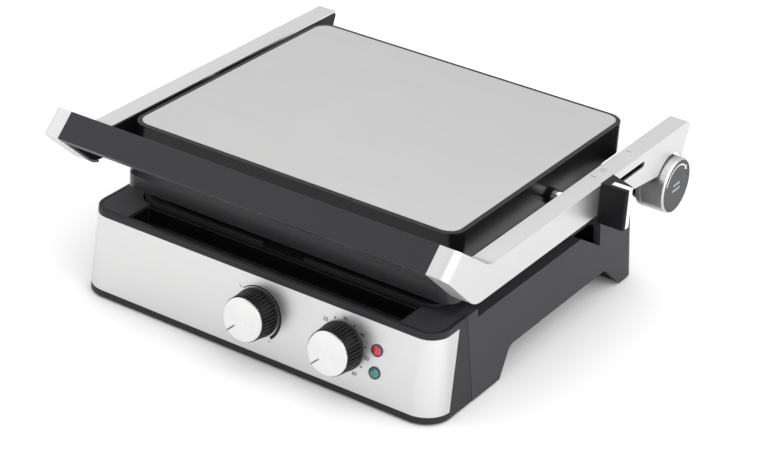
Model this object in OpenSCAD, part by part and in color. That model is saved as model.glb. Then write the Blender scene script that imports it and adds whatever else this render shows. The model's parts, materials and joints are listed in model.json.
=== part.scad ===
// Contact grill (panini press) that opens flat: a heated base, a heated lid hung between two
// arms with a cross handle, and a rear hinge with a release barrel.
// Axes: X to the right, Y to the back, Z up. The model is centred on the origin by its box.

/* [Lid] */
// Width of the brushed cover plate
cover_w = 300; // [280:1:330]
// Depth of the cover plate
cover_d = 260; // [245:1:300]
// Corner radius of the cover plate
cover_r = 12; // [10:1:18]
// Thickness of the cover plate
cover_t = 1.2; // [0.8:0.1:2]
// Width of the black rim left showing round the cover plate
rim_w = 4; // [3:0.5:6]
// Height of the lid shell
lid_h = 27; // [24:1:34]
// Wall of the moulded shells
wall = 3; // [2.4:0.1:3.6]

/* [Base] */
// Height of the plate parting line above the table
parting_z = 82; // [76:1:92]
// Gap between the ribs of the closed plates
plate_gap = 5; // [4.5:0.5:8]
// How far the foot of each side wall stands out past the cover plate
base_side = 22; // [20:0.5:24]
// How far the foot of the front wall stands ahead of the cover plate
front_reach = 44.7; // [42:0.1:50]
// How far the foot of the rear wall stands behind the cover plate
rear_reach = 15.5; // [12:0.5:19]
// Radius of the front corners at the foot of the walls
base_r = 23; // [18:1:32]
// Inward lean of the walls for each millimetre of height
lean = 0.087; // [0.06:0.001:0.1]
// Height of the handhold arch in each side
arch_h = 24.5; // [20:0.5:30]

/* [Front panel] */
// Height of the lower edge of the steel panel
panel_z0 = 7.2; // [6:0.1:9]
// Drop from the parting line to the upper edge of the steel panel
panel_drop = 10.4; // [10:0.1:14]
// Thickness of the steel panel
panel_t = 1; // [0.8:0.1:1.2]
// Place of the thermostat dial from the middle
therm_x = 4; // [-20:1:10]
// Place of the timer dial from the middle
timer_x = 83.5; // [78:0.5:90]
// Drop from the parting line to the middle of both dials
dial_drop = 40.5; // [38:0.5:44]
// Diameter of the dial knobs
dial_d = 40.5; // [36:0.5:44]
// How far the dial knobs stand out
dial_h = 20; // [16:0.5:24]
// Diameter of the dial shafts
shaft_d = 6; // [5:0.5:8]
// Place of the two indicator lamps from the middle
lamp_x = 115.5; // [112:0.5:125]
// Height of the power lamp above the middle of the dials
lamp_up = 7.5; // [6:0.5:10]
// Drop of the ready lamp below the middle of the dials
lamp_down = 11.5; // [8:0.5:11.5]
// Diameter of an indicator lens
lens_d = 8.6; // [6:0.2:9.6]

/* [Cooking plates] */
// Pitch of the ribs
rib_pitch = 9; // [7:0.5:12]
// Height of the ribs
rib_h = 4; // [3:0.5:5]
// Floor thickness of the cast plates
plate_t = 6; // [5:0.5:8]

/* [Arms and handle] */
// Gap between the lid shell and each arm
arm_gap = 16.8; // [15:0.1:20]
// Width of an arm seen from above
arm_w = 17.2; // [16:0.1:20]
// Height of an arm
arm_h = 26.5; // [24:0.5:30]
// Thickness of the arm's metal skin
skin_t = 1.8; // [1.5:0.1:2.4]
// Height of the top of the arms above the parting line
arm_rise = 52; // [48:1:58]
// Thickness of the handle bar
bar_t = 10; // [8:0.5:14]
// How far the lower edge of the handle stands ahead of the cover plate
bar_reach = 71.5; // [66:0.5:76]
// Height of the lower edge of the handle above the arms
bar_rise = 13.5; // [11:0.5:16]
// Run of the sloping handle face, both backwards and upwards
bar_run = 17; // [14:0.5:20]

/* [Hinge] */
// Distance of the hinge axis behind the cover plate
hinge_reach = 25; // [23:0.5:30]
// Height of the hinge axis above the parting line
hinge_rise = 4; // [2:0.5:8]
// Diameter of the hinge pins
pin_d = 10; // [8:0.5:12]
// Diameter of the hinge barrels
barrel_d = 49; // [44:0.5:50]
// How far the release barrel stands out past the arm
barrel_out = 8; // [6:0.5:12]

/* [Slider] */
// Travel of the height slider
slide_travel = 58.5; // [50:0.5:62]
// Width of the slider grip out from the arm
slider_w = 23.5; // [18:0.5:26]
// Height of the slider grip
slider_h = 35; // [30:0.5:38]

/* [Fits] */
// Radial clearance of a running fit
run_fit = 0.05; // [0.02:0.01:0.1]
// Clearance between sliding and moving faces
slip = 0.3; // [0.2:0.05:0.5]
// Clearance between fixed pieces that seat in each other
seat = 0.15; // [0.1:0.05:0.3]

/* [Hidden] */
$fn = 96;

// Lid
shell_w = cover_w + 2 * rim_w;
shell_d = cover_d + 2 * rim_w;
shell_r = cover_r + rim_w;
lid_z1 = parting_z + 61.4;
lid_z0 = lid_z1 - lid_h;
frame_w = shell_w - 8;
ear_w = shell_w + 7;
ear_y1 = cover_d / 2 - 70;
ear_r = 13;
frame_y0 = -shell_d / 2 - 3;
frame_y1 = shell_d / 2 - 4;
frame_z0 = parting_z + 4;
frame_z1 = frame_z0 + 12;
frame_r = 20;
plate_w = frame_w - 14;
plate_y0 = frame_y0 + 6;
plate_y1 = frame_y1 - 6;
upper_rib_z = parting_z + plate_gap / 2;
lower_rib_z = parting_z - plate_gap / 2;
neck_w = frame_w - 24;
neck_y0 = frame_y0 + 12;
neck_y1 = frame_y1 - 12;
plate_top = upper_rib_z + rib_h + plate_t;
lid_boss_in = shell_w / 2 - 8;
arm_top = parting_z + arm_rise;
pivot_y = 10;
pivot_z = arm_top - arm_h / 2;
pivot_r = 4;

// Base
base_w = cover_w + 2 * base_side;
base_front = cover_d / 2 + front_reach;
base_rear = cover_d / 2 + rear_reach;
hinge_y = cover_d / 2 + hinge_reach;
hinge_z = parting_z + hinge_rise;
lower_w = plate_w + 4;
lower_y0 = plate_y0 - 3;
lower_y1 = plate_y1 + 3;
lower_z0 = lower_rib_z - rib_h - plate_t;
deck_z = lower_rib_z - 2.5;
side_deck_z = deck_z - 7;
side_deck_y = 18 - cover_d / 2;
floor_z = 1.5;
cover_z = arch_h - 3;
rear_r = 16;
fascia_t = 3.2;
panel_z1 = parting_z - panel_drop;
dial_z = parting_z - dial_drop;
lamp_z = [dial_z + lamp_up, dial_z - lamp_down];
seam_y0 = 9 - cover_d / 2;
seam_y1 = 3 - cover_d / 2;
panel_end_y0 = -cover_d / 2 - 23;
panel_end_y1 = -cover_d / 2 - 8;
tray_w = cover_w - 40;
tray_y0 = -base_front + wall_in(deck_z) + fascia_t + 1.127;
tray_y1 = frame_y0 - 2;
tray_z0 = deck_z - 16;
tray_t = 1.4;
tray_lift = 45;
leg_front = 66 - cover_d / 2;
leg_rear = cover_d / 2 - 40;
tower_y0 = hinge_y - 75;
tower_top = arm_top - arm_h - 9.5;
tower_in = shell_w / 2 + 2;
bracket_low = side_deck_z - wall - 22;
panel_tilt = atan(lean);
foot_x = base_w / 2 - 24;
foot_y0 = -base_front + 40;
foot_y1 = base_rear - 16;
gland_x = 30 - cover_w / 2;
gland_z = 40;

// Arms: the side profile runs from the rear corner forward and turns up to the handle
arm_in = shell_w / 2 + arm_gap;
arm_out = arm_in + arm_w;
arm_z0 = arm_top - arm_h;
arm_rear = hinge_y + 31;
bar_low = [-cover_d / 2 - bar_reach, arm_top + bar_rise];
bar_high = bar_low + [bar_run, bar_run];
bar_face = norm(bar_high - bar_low);
bar_angle = atan2(bar_high[1] - bar_low[1], bar_high[0] - bar_low[0]);
notch_r = barrel_d / 2 + 2.3;
rear_low = [hinge_y + notch_r * cos(40.46), hinge_z + notch_r * sin(40.46)];
rear_slope = atan2(arm_top - rear_low[1], arm_rear - rear_low[0]);
rear_round = 5;
hub_top = arm_top - 10.5;
hub_r = 20;
hub_in = arm_in - 7;
hub_out = arm_in - 1.3;
bracket_out = hub_in - 1;
bracket_t = 6;
barrel_in = arm_in - 0.5;
barrel_x1 = arm_out + barrel_out;
cap_r = barrel_d / 2 - 1.5;
bush_r = pin_d / 2 + 3;

// Slider
slider_y = 28;
slider_z0 = arm_z0 - 6.5;
slot_z = arm_top - 10;
slot_h = 5.2;
key_l = 12;
key_y = slider_y + 5;

// Box of the whole model, which sets the origin
box_x0 = -(arm_out + 1);
box_x1 = arm_out + slip + slider_w;
box_y0 = bar_low[0];
box_y1 = arm_rear - rear_round / tan(rear_slope / 2) + rear_round;
shift = [-(box_x0 + box_x1) / 2, -(box_y0 + box_y1) / 2, 0];

function wall_in(z) = lean * (z - panel_z0);
function front_y(z) = -base_front + wall_in(z);
function side_x(z) = base_w / 2 - wall_in(z);

module placed() {
  translate(shift) children();
}

module both_sides() {
  children();
  mirror([1, 0, 0]) children();
}

// Straight-sided block with rounded corners, from y0 to y1
module round_block(w, y0, y1, r, z0, z1) {
  translate([0, 0, z0]) linear_extrude(z1 - z0) round_rect(w, y0, y1, r);
}

module round_rect(w, y0, y1, r) {
  for (x = [-w / 2 + r, w / 2 - r]) {
    for (y = [y0 + r, y1 - r]) {
      translate([x, y]) circle(r);
    }
  }
  translate([-w / 2 + r, y0]) square([w - 2 * r, y1 - y0]);
  translate([-w / 2, y0 + r]) square([w, y1 - y0 - 2 * r]);
}

// Block whose four walls lean inwards alike: cones at the corners, flats between; t insets it
module lean_block(t, z0, z1) {
  grow0 = -wall_in(z0) - t;
  grow1 = -wall_in(z1) - t;
  h = z1 - z0;
  xf = base_w / 2 - base_r;
  xr = base_w / 2 - rear_r;
  yf = -base_front + base_r;
  yr = base_rear - rear_r;
  both_sides() {
    translate([xf, yf, z0]) quarter_cone(h, base_r + grow0, base_r + grow1, -1);
    translate([xr, yr, z0]) quarter_cone(h, rear_r + grow0, rear_r + grow1, 0);
  }
  translate([0, yf, 0]) prism_y(base_w / 2 + grow0, base_w / 2 + grow1, z0, z1, yr - yf);
  prism_x(xf, [[-base_front - grow0, z0], [0, z0], [0, z1], [-base_front - grow1, z1]]);
  prism_x(xr, [[0, z0], [base_rear + grow0, z0], [base_rear + grow1, z1], [0, z1]]);
}

// Quarter of a cone on its +X side; turn -1 keeps the front quarter and 0 the rear one
module quarter_cone(h, r1, r2, turn) {
  intersection() {
    cylinder(h = h, r1 = r1, r2 = r2);
    translate([0, turn * 100, -1]) cube([100, 100, h + 2]);
  }
}

module prism_y(x0, x1, z0, z1, l) {
  translate([0, l, 0]) rotate([90, 0, 0]) linear_extrude(l)
    polygon([[-x0, z0], [x0, z0], [x1, z1], [-x1, z1]]);
}

module prism_x(half, outline) {
  translate([-half, 0, 0]) side_extrude(2 * half) polygon(outline);
}

// Points of an arc of radius r that rounds the corner b between a and c
function fillet(a, b, c, r, n = 10) =
  let (u = (a - b) / norm(a - b), v = (c - b) / norm(c - b), half = acos(u * v) / 2)
  let (mid = b + (u + v) / norm(u + v) * r / sin(half))
  let (p = b + u * r / tan(half) - mid, q = b + v * r / tan(half) - mid)
  let (start = atan2(p[1], p[0]), turn = atan2(q[1], q[0]) - start)
  let (sweep = turn > 180 ? turn - 360 : turn < -180 ? turn + 360 : turn)
  [for (i = [0:n]) mid + r * [cos(start + sweep * i / n), sin(start + sweep * i / n)]];

// Extrudes a Y-Z outline along +X
module side_extrude(l) {
  rotate([90, 0, 90]) linear_extrude(l) children();
}

module slab_z(z0, z1) {
  translate([-400, -400, z0]) cube([800, 800, z1 - z0]);
}

// Everything behind a leaning line, used to end the fascia and the panel
module behind(y0, y1) {
  slope = (y1 - y0) / (panel_z1 - panel_z0);
  prism_x(300, [[y0 - slope * 30, panel_z0 - 30], [400, panel_z0 - 30],
    [400, panel_z1 + 40], [y1 + slope * 40, panel_z1 + 40]]);
}

// Frame of a point on the front panel: +Z stands out of the panel
module on_panel(x, z) {
  translate([x, front_y(z), z]) rotate([90 - panel_tilt, 0, 0]) children();
}

module screw(r, l) {
  cylinder(h = l, r = r, $fn = 24);
  translate([0, 0, l]) difference() {
    cylinder(h = r * 0.9, r1 = r * 2, r2 = r * 1.6, $fn = 32);
    translate([-r * 1.2, -r * 0.2, r * 0.4]) cube([r * 2.4, r * 0.4, r]);
    translate([-r * 0.2, -r * 1.2, r * 0.4]) cube([r * 0.4, r * 2.4, r]);
  }
}

// ---- Base ----

module base_shell() {
  color([0.16, 0.16, 0.17]) placed() {
    difference() {
      base_outer();
      lean_block(wall + fascia_t, -5, side_deck_z - wall);
      difference() {
        intersection() {
          lean_block(wall, -5, side_deck_z - wall);
          behind(seam_y0 + wall, seam_y1 + wall);
        }
        tower_roots();
      }
      round_block(lower_w - 10, lower_y0 + 5, lower_y1 - 5, 14, side_deck_z - wall - 1, deck_z + 5);
      round_block(lower_w + 3, lower_y0 - 1.5, lower_y1 + 1.5, 16.5, lower_z0, deck_z + 5);
      tray_room(seat + 0.5);
      side_arches();
      control_opening();
      gland_hole(9);
      bracket_slots();
    }
    tray_basin();
    leg_blocks();
  }
}

module base_outer() {
  difference() {
    union() {
      difference() {
        lean_block(0, floor_z, deck_z);
        translate([-300, side_deck_y, side_deck_z]) cube([600, 400, 40]);
        tower_notches();
      }
      towers();
    }
    fascia_zone();
  }
}

// Room taken by the fascia and by the panel in front of it
module fascia_zone() {
  difference() {
    lean_block(-2, floor_z - 2, deck_z + 2);
    lean_block(fascia_t + seat, floor_z - 3, deck_z + 3);
    behind(seam_y0 + seat, seam_y1 + seat);
  }
}

module tray_room(gap) {
  translate([-tray_w / 2 - gap, tray_y0 - gap, tray_z0 - gap])
    cube([tray_w + 2 * gap, lower_y0 - tray_y0, 60]);
}

// Walled basin that the drip tray drops into
module tray_basin() {
  difference() {
    translate([-tray_w / 2 - 3, tray_y0 - 1, tray_z0 - 3])
      cube([tray_w + 6, tray_y1 - tray_y0 + 4, side_deck_z - wall + 4 - tray_z0]);
    tray_room(seat + 0.5);
    lean_block_shell();
  }
}

module lean_block_shell() {
  difference() {
    translate([-300, -300, 0]) cube([600, 300, 100]);
    lean_block(fascia_t + seat, floor_z - 3, deck_z + 3);
  }
}

module side_arches() {
  front = [[leg_front - 16, floor_z], [leg_front, arch_h]];
  rear = [[leg_rear, arch_h], [leg_rear + 26, floor_z]];
  prism_x(300, concat([[leg_front - 16, -10]], [front[0]],
    fillet(front[0], front[1], rear[0], 10), fillet(front[1], rear[0], rear[1], 10),
    [rear[1]], [[leg_rear + 26, -10]]));
}

module control_opening() {
  translate([timer_x - 120, -base_front - 1, dial_z - 22]) cube([160, 30, 38]);
}

// Frame of the cord inlet: +Z stands out of the leaning rear wall
module on_rear() {
  translate([gland_x, base_rear - wall_in(gland_z), gland_z]) rotate([panel_tilt - 90, 0, 0]) children();
}

module gland_hole(r) {
  on_rear() translate([0, 0, -20]) cylinder(h = 40, r = r, $fn = 48);
}

module towers() {
  both_sides() {
    difference() {
      intersection() {
        lean_block(0, side_deck_z - wall, tower_top);
        translate([tower_in, tower_y0, side_deck_z - wall - 1]) cube([60, 80, 100]);
      }
      translate([tower_in - 1, hinge_y, hinge_z]) rotate([0, 90, 0])
        cylinder(h = 60, r = barrel_d / 2 + 6);
    }
  }
}

// Solid stretch of each side wall that carries its tower
module tower_roots() {
  both_sides() {
    translate([tower_in, tower_y0 - 36, side_deck_z - wall - 24]) cube([60, 90, 60]);
  }
}

// Step cut into the top of each side wall in front of its tower
module tower_notches() {
  both_sides() {
    translate([tower_in, 0, 0]) side_extrude(60)
      polygon([[tower_y0 - 32, side_deck_z + 1], [tower_y0 - 32, side_deck_z],
        [tower_y0, side_deck_z - 19], [tower_y0, side_deck_z + 1]]);
  }
}

module leg_blocks() {
  both_sides() {
    leg_block(foot_y0, wall + fascia_t - 1);
    leg_block(foot_y1, wall / 2);
  }
}

module leg_block(y, inset) {
  difference() {
    intersection() {
      lean_block(inset, floor_z, cover_z);
      translate([foot_x - 12, y - 12, floor_z]) cube([80, 24, cover_z - floor_z]);
    }
    translate([foot_x, y, -1]) cylinder(h = 7.5, r = 9 + seat);
    translate([foot_x, y, 5]) cylinder(h = 12, r = 3 + seat);
    bottom_screw_places() translate([0, 0, -10]) cylinder(h = 12, r = 1.5, $fn = 24);
  }
}

module foot(side, y) {
  color([0.06, 0.06, 0.06]) placed() translate([side * foot_x, y, 0]) {
    cylinder(h = 4, r1 = 8, r2 = 9);
    translate([0, 0, 4]) cylinder(h = 1.5, r = 9);
    translate([0, 0, 5]) cylinder(h = 10, r = 3);
  }
}

module foot_front_left() { foot(-1, foot_y0); }
module foot_front_right() { foot(1, foot_y0); }
module foot_rear_left() { foot(-1, foot_y1); }
module foot_rear_right() { foot(1, foot_y1); }

module front_fascia() {
  color([0.13, 0.13, 0.14]) placed() difference() {
    lean_block(0, floor_z, deck_z);
    lean_block(fascia_t, floor_z - 1, deck_z + 1);
    behind(seam_y0, seam_y1);
    panel_skin(panel_t + seat, seat, -3);
    for (x = [therm_x, timer_x]) {
      on_panel(x, dial_z) translate([0, 0, -12]) cylinder(h = 24, r = shaft_d / 2 + 3);
    }
    for (z = lamp_z) {
      on_panel(lamp_x, z) translate([0, 0, -12]) cylinder(h = 24, r = lens_d / 2 + 0.1);
    }
  }
}

// Layer of the leaning front that holds the steel panel
module panel_skin(t, gap, out) {
  difference() {
    intersection() {
      lean_block(out, floor_z, deck_z);
      slab_z(panel_z0 - gap, panel_z1 + gap);
    }
    lean_block(t, floor_z - 1, deck_z + 1);
    behind(panel_end_y0 + gap, panel_end_y1 + gap);
  }
}

module front_panel() {
  color([0.72, 0.72, 0.71]) placed() difference() {
    panel_skin(panel_t, 0, 0);
    for (x = [therm_x, timer_x]) {
      on_panel(x, dial_z) translate([0, 0, -5]) cylinder(h = 10, r = shaft_d / 2 + 1);
    }
    for (z = lamp_z) {
      on_panel(lamp_x, z) translate([0, 0, -5]) cylinder(h = 10, r = lens_d / 2 + 0.1);
    }
  }
}

module bottom_cover() {
  color([0.2, 0.2, 0.21]) placed() difference() {
    intersection() {
      lean_block(wall + fascia_t + 1, cover_z, cover_z + 2);
      slab_z(cover_z, cover_z + 2);
    }
    for (x = [-60:12:60]) {
      translate([x - 2.5, -30, cover_z - 1]) cube([5, 60, 4]);
    }
    bottom_screw_places() cylinder(h = 8, r = 1.5 + seat, center = true, $fn = 24);
  }
}

module bottom_screw_places() {
  for (x = [-foot_x - 8, foot_x + 8]) {
    for (y = [foot_y0 + 8, foot_y1 - 8]) {
      translate([x, y, cover_z + 1]) children();
    }
  }
}

module bottom_screws() {
  color([0.6, 0.6, 0.6]) placed() bottom_screw_places()
    translate([0, 0, -9]) screw(1.5, 10);
}

module drip_tray() {
  color([0.03, 0.03, 0.035]) placed() difference() {
    translate([-tray_w / 2, tray_y0, tray_z0]) cube([tray_w, tray_y1 - tray_y0, deck_z - 0.6 - tray_z0]);
    translate([-tray_w / 2 + tray_t, tray_y0 + tray_t, tray_z0 + tray_t])
      cube([tray_w - 2 * tray_t, tray_y1 - tray_y0 - 2 * tray_t, 40]);
  }
}

// ---- Cooking plates and heaters ----

module ribs(w, y0, y1, z0, z1) {
  n = floor(w / 2 / rib_pitch);
  for (i = [-n:n]) {
    translate([i * rib_pitch - 1.6, y0, z0]) cube([3.2, y1 - y0, z1 - z0]);
  }
}

module lower_plate() {
  color([0.09, 0.09, 0.1]) placed() {
    difference() {
      round_block(lower_w, lower_y0, lower_y1, 15, lower_z0, lower_rib_z);
      round_block(lower_w - 8, lower_y0 + 4, lower_y1 - 4, 12, lower_rib_z - rib_h, lower_rib_z + 5);
      translate([-20, lower_y0 - 1, lower_rib_z - rib_h]) cube([40, 8, 10]);
    }
    ribs(lower_w - 24, lower_y0 + 14, lower_y1 - 12, lower_rib_z - rib_h - 0.5, lower_rib_z);
  }
}

module upper_plate() {
  color([0.09, 0.09, 0.1]) placed() {
    round_block(plate_w, plate_y0, plate_y1, 14, upper_rib_z + rib_h, upper_rib_z + rib_h + plate_t);
    ribs(plate_w - 20, plate_y0 + 12, plate_y1 - 12, upper_rib_z, upper_rib_z + rib_h + 0.5);
  }
}

// Flat tubular element: two long runs joined by a half ring, with both cold ends at the rear
module heater(z) {
  run = cover_w / 2 - 65;
  half = cover_d / 2 - 35;
  tube = 3.25;
  translate([0, 0, z]) {
    both_sides() {
      translate([run, -half + 30, 0]) rotate([-90, 0, 0]) cylinder(h = 2 * half - 30, r = tube, $fn = 32);
      translate([run - 30, -half + 30, 0]) rotate([0, 0, -90]) rotate_extrude(angle = 90)
        translate([30, 0]) circle(tube, $fn = 32);
    }
    translate([-run + 30, -half, 0]) rotate([0, 90, 0]) cylinder(h = 2 * run - 60, r = tube, $fn = 32);
  }
}

module lower_heater() {
  color([0.45, 0.43, 0.4]) placed() heater(lower_z0 - 3.4);
}

module upper_heater() {
  color([0.45, 0.43, 0.4]) placed() heater(upper_rib_z + rib_h + plate_t + 3.4);
}

module reflector(w, y0, y1, z0, z1, up) {
  t = 0.8;
  difference() {
    round_block(w, y0, y1, 12, z0, z1);
    round_block(w - 2 * t, y0 + t, y1 - t, 12 - t, up ? z0 + t : z0 - 1, up ? z1 + 1 : z1 - t);
  }
}

module lower_reflector() {
  color([0.75, 0.75, 0.74]) placed()
    reflector(lower_w - 24, lower_y0 + 12, lower_y1 - 12, lower_z0 - 14, lower_z0 - 0.2, true);
}

module upper_reflector() {
  base = upper_rib_z + rib_h + plate_t;
  color([0.75, 0.75, 0.74]) placed()
    reflector(plate_w - 26, plate_y0 + 14, plate_y1 - 14, base + 0.2, base + 12, false);
}

// ---- Electrics ----

module control_body(x) {
  on_panel(x, dial_z) difference() {
    union() {
      translate([-17, -14, -34]) cube([34, 28, 26]);
      translate([0, 0, -8.1]) cylinder(h = 8.1 - fascia_t - 0.3, r = 7);
      translate([17, -5, -30]) cube([6, 4, 1]);
      translate([17, 3, -30]) cube([6, 4, 1]);
    }
    translate([0, 0, -30]) cylinder(h = 40, r = shaft_d / 2 + run_fit);
  }
}

module dial_shaft(x) {
  on_panel(x, dial_z) translate([0, 0, -28]) cylinder(h = 28 + dial_h - 6, r = shaft_d / 2);
}

module dial_knob(x) {
  teeth = 40;
  on_panel(x, dial_z) difference() {
    union() {
      translate([0, 0, 0.8]) cylinder(h = 2, r = dial_d / 2);
      translate([0, 0, 2.5]) intersection() {
        linear_extrude(dial_h - 4.5) difference() {
          circle(dial_d / 2 - 0.3);
          for (i = [0:teeth - 1]) {
            rotate(i * 360 / teeth) translate([dial_d / 2 - 2.3, -0.6]) square([4, 1.2]);
          }
        }
        cylinder(h = dial_h - 4.5, r1 = dial_d / 2 - 0.3, r2 = dial_d / 2 - 1.4);
      }
    }
    translate([0, 0, -1]) cylinder(h = dial_h - 4.9, r = shaft_d / 2);
  }
}

// Spun metal disc on the knob, with the pointer groove at the off mark, lower left
module dial_cap(x) {
  on_panel(x, dial_z) difference() {
    translate([0, 0, dial_h - 2]) union() {
      cylinder(h = 1.2, r = dial_d / 2 - 2);
      translate([0, 0, 1.2]) cylinder(h = 0.8, r1 = dial_d / 2 - 2, r2 = dial_d / 2 - 2.8);
    }
    rotate(225) translate([dial_d / 2 - 11, -0.5, dial_h - 0.5]) cube([8, 1, 2]);
  }
}

module thermostat_body() { color([0.55, 0.5, 0.4]) placed() control_body(therm_x); }
module thermostat_shaft() { color([0.6, 0.6, 0.6]) placed() dial_shaft(therm_x); }
module thermostat_knob() { color([0.08, 0.08, 0.08]) placed() dial_knob(therm_x); }
module thermostat_knob_cap() { color([0.85, 0.85, 0.85]) placed() dial_cap(therm_x); }
module timer_body() { color([0.5, 0.5, 0.52]) placed() control_body(timer_x); }
module timer_shaft() { color([0.6, 0.6, 0.6]) placed() dial_shaft(timer_x); }
module timer_knob() { color([0.08, 0.08, 0.08]) placed() dial_knob(timer_x); }
module timer_knob_cap() { color([0.85, 0.85, 0.85]) placed() dial_cap(timer_x); }

module lens(z) {
  on_panel(lamp_x, z) {
    translate([0, 0, -4]) cylinder(h = 4.6, r = lens_d / 2);
    translate([0, 0, 0.6]) intersection() {
      translate([0, 0, -lens_d / 2]) sphere(lens_d / 2 * sqrt(2));
      cylinder(h = 5, r = lens_d / 2);
    }
  }
}

module power_lens() { color([0.75, 0.08, 0.12]) placed() lens(lamp_z[0]); }
module ready_lens() { color([0.1, 0.5, 0.42]) placed() lens(lamp_z[1]); }

module lamp_bezels() {
  color([0.25, 0.27, 0.3]) placed() for (z = lamp_z) {
    on_panel(lamp_x, z) difference() {
      cylinder(h = 0.9, r = lens_d / 2 + 0.8);
      translate([0, 0, -1]) cylinder(h = 5, r = lens_d / 2);
    }
  }
}

module lamp_holders() {
  color([0.85, 0.85, 0.8]) placed() for (z = lamp_z) {
    on_panel(lamp_x, z) translate([0, 0, -15]) difference() {
      cylinder(h = 11, r = lens_d / 2 + 0.6);
      translate([0, 0, 3]) cylinder(h = 20, r = lens_d / 2 - 0.6);
      translate([0, 0, 7]) difference() {
        cylinder(h = 10, r = lens_d);
        cylinder(h = 10, r = lens_d / 2 - 0.1);
      }
    }
  }
}

module terminal_block() {
  color([0.9, 0.9, 0.86]) placed() translate([-80, base_rear - 50, cover_z + 2]) difference() {
    cube([40, 18, 14]);
    for (i = [0:2]) {
      translate([7 + i * 13, 9, 6]) cylinder(h = 12, r = 3, $fn = 24);
    }
  }
}

// Grommet in the rear wall for the supply cord
module cord_gland() {
  color([0.05, 0.05, 0.05]) placed() on_rear() difference() {
    union() {
      translate([0, 0, -wall - 9]) cylinder(h = wall + 11, r = 9 - seat);
      cylinder(h = 2, r = 11.5);
      translate([0, 0, -wall - 4.5]) cylinder(h = 4.5, r = 11.5);
    }
    translate([0, 0, -20]) cylinder(h = 40, r = 3.9);
  }
}

// ---- Hinge ----

// Runs a child that stands along +Z so that it runs along +X from the hinge axis
module on_hinge(x) {
  translate([x, hinge_y, hinge_z]) rotate([0, 90, 0]) children();
}

module bracket_outline() {
  translate([hinge_y, hinge_z]) circle(14);
  polygon([[hinge_y, hinge_z + 14], [hinge_y - 40, hinge_z + 8], [hinge_y - 64, hinge_z + 8],
    [hinge_y - 64, bracket_low], [hinge_y - 30, bracket_low], [hinge_y - 30, side_deck_z + 1.2],
    [hinge_y, hinge_z - 14]]);
}

module bracket_screw_places() {
  for (z = [bracket_low + 8, side_deck_z + 12]) {
    translate([bracket_out - bracket_t, hinge_y - 55, z]) rotate([0, 90, 0]) children();
  }
}

module bracket() {
  difference() {
    translate([bracket_out - bracket_t, 0, 0]) side_extrude(bracket_t) bracket_outline();
    on_hinge(bracket_out - bracket_t - 1) cylinder(h = 20, r = pin_d / 2);
    bracket_screw_places() translate([0, 0, -1]) cylinder(h = 20, r = 2 + seat, $fn = 24);
  }
}

// Room in each tower and side wall for the bracket and its screws
module bracket_slots() {
  both_sides() {
    translate([tower_in - 2, 0, 0]) side_extrude(bracket_out + seat - tower_in + 2)
      offset(delta = seat + 0.15) bracket_outline();
    bracket_screw_places() cylinder(h = bracket_t + 1.9, r = 2, $fn = 24);
  }
}

module hinge_bracket_left() { color([0.35, 0.35, 0.36]) placed() mirror([1, 0, 0]) bracket(); }
module hinge_bracket_right() { color([0.35, 0.35, 0.36]) placed() bracket(); }

module bracket_screws() {
  color([0.6, 0.6, 0.6]) placed() both_sides() bracket_screw_places()
    mirror([0, 0, 1]) translate([0, 0, -bracket_t - 1.5]) screw(2, bracket_t + 1.5);
}

// Pin with a head on the inner side of the bracket
module hinge_pin(end) {
  head = bracket_out - bracket_t - 2.4;
  on_hinge(head) cylinder(h = end - head, r = pin_d / 2);
  on_hinge(head) cylinder(h = 2.3, r = pin_d / 2 + 2.5);
}

module hinge_pin_left() { color([0.7, 0.7, 0.7]) placed() mirror([1, 0, 0]) hinge_pin(arm_out - 4); }
module hinge_pin_right() { color([0.7, 0.7, 0.7]) placed() hinge_pin(arm_out - 4); }

// Metal barrel on the hinge axis with a ring groove near its inner end
module barrel(end, bore) {
  difference() {
    union() {
      on_hinge(barrel_in) cylinder(h = end - 1.5 - barrel_in, r = barrel_d / 2);
      on_hinge(end - 1.5) cylinder(h = 1.5, r1 = barrel_d / 2, r2 = barrel_d / 2 - 1);
    }
    on_hinge(barrel_in - 1) cylinder(h = arm_out - 2.5 - barrel_in, r = bore);
    on_hinge(barrel_in + 4) rotate_extrude() translate([barrel_d / 2 - 0.5, 0]) square([2, 0.8]);
    on_hinge(end - 1.6) cylinder(h = 5, r = cap_r + seat);
  }
}

module hinge_cap_left() {
  color([0.72, 0.72, 0.72]) placed() mirror([1, 0, 0]) {
    barrel(arm_out + 1, pin_d / 2);
    on_hinge(arm_out - 0.7) cylinder(h = 1.4, r = cap_r + seat);
  }
}

module release_barrel() { color([0.72, 0.72, 0.72]) placed() barrel(barrel_x1, pin_d / 2 + run_fit); }

// Dark disc on the release barrel with a curved arrow and a grip mark cut in it
module release_cap() {
  color([0.28, 0.28, 0.3]) placed() difference() {
    on_hinge(barrel_x1 - 1.6) cylinder(h = 1.3, r = cap_r);
    on_hinge(barrel_x1 - 0.6) rotate([0, 0, 100]) rotate_extrude(angle = 130)
      translate([cap_r - 5.5, 0]) square([1.4, 2]);
  }
}

// ---- Arms ----

// Frame of the handle's face: Y runs inwards from the face and Z up along it
module end_frame() {
  translate([0, bar_low[0], bar_low[1]]) rotate([bar_angle - 90, 0, 0]) children();
}

module arm_outline() {
  top_bend = [bar_high[0] + (bar_high[1] - arm_top) / tan(34), arm_top];
  low_bend = [bar_low[0] + (bar_low[1] - arm_z0) / tan(42), arm_z0];
  rear_top = [arm_rear, arm_top];
  belly = [hinge_y - 75, arm_z0];
  difference() {
    polygon(concat(fillet(rear_low, rear_top, top_bend, rear_round, 6), fillet(rear_top, top_bend, bar_high, 24),
      [bar_high], [bar_low], fillet(bar_low, low_bend, belly, 26), [belly],
      [[hinge_y - 22, arm_z0 - 6.5]], [[hinge_y, hinge_z]], [rear_low]));
    translate([hinge_y, hinge_z]) circle(notch_r);
  }
}

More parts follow.
